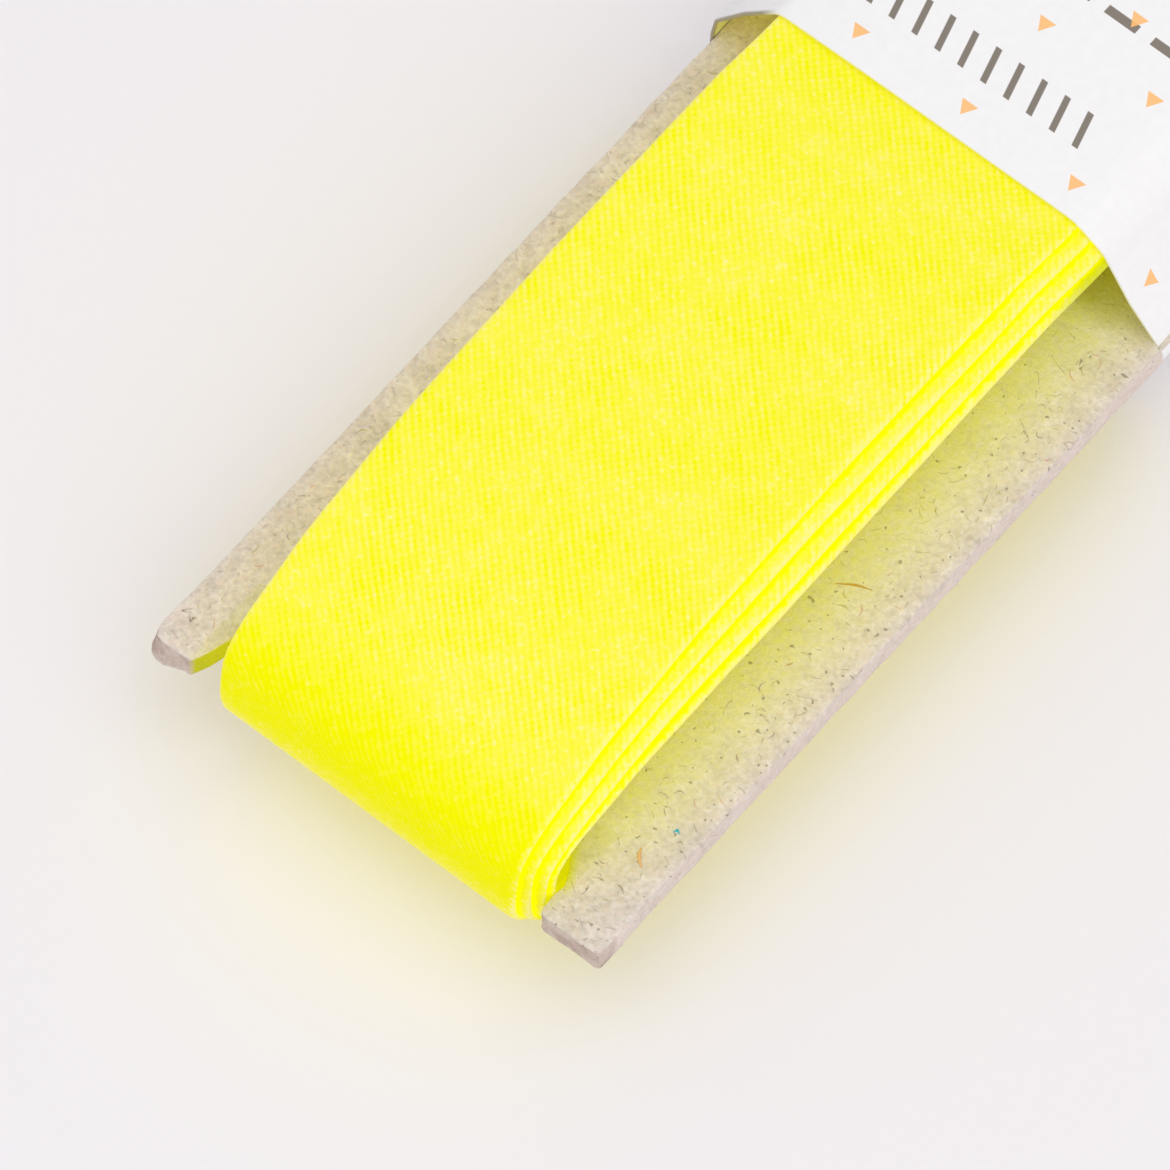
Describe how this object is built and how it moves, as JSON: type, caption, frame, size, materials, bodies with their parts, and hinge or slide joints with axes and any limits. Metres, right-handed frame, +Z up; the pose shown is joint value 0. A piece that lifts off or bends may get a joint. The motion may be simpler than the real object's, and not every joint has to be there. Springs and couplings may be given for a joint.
{
  "type": "roll of bias binding",
  "caption": "Folded cotton bias tape wound lengthwise in a lens shape round a notched grey board, its lower turns stepped on one side, held shut by a paper band.",
  "frame": {"origin": "on the surface that the roll rests on, below the middle of the board", "axes": "+X across the board towards the stepped edges of the tape, +Y along the board away from the viewer, +Z up through the winding"},
  "size_m": [0.0316, 0.1348, 0.0169],
  "materials": {
    "board": "matt, rough recycled pulp with coloured fibres",
    "tape": "matt plain weave, fluorescent",
    "band": "smooth uncoated, lightly printed"
  },
  "bodies": {
    "root": {"board_core": "board", "wound_tape": "tape", "paper_band": "band"}
  },
  "joints": []
}
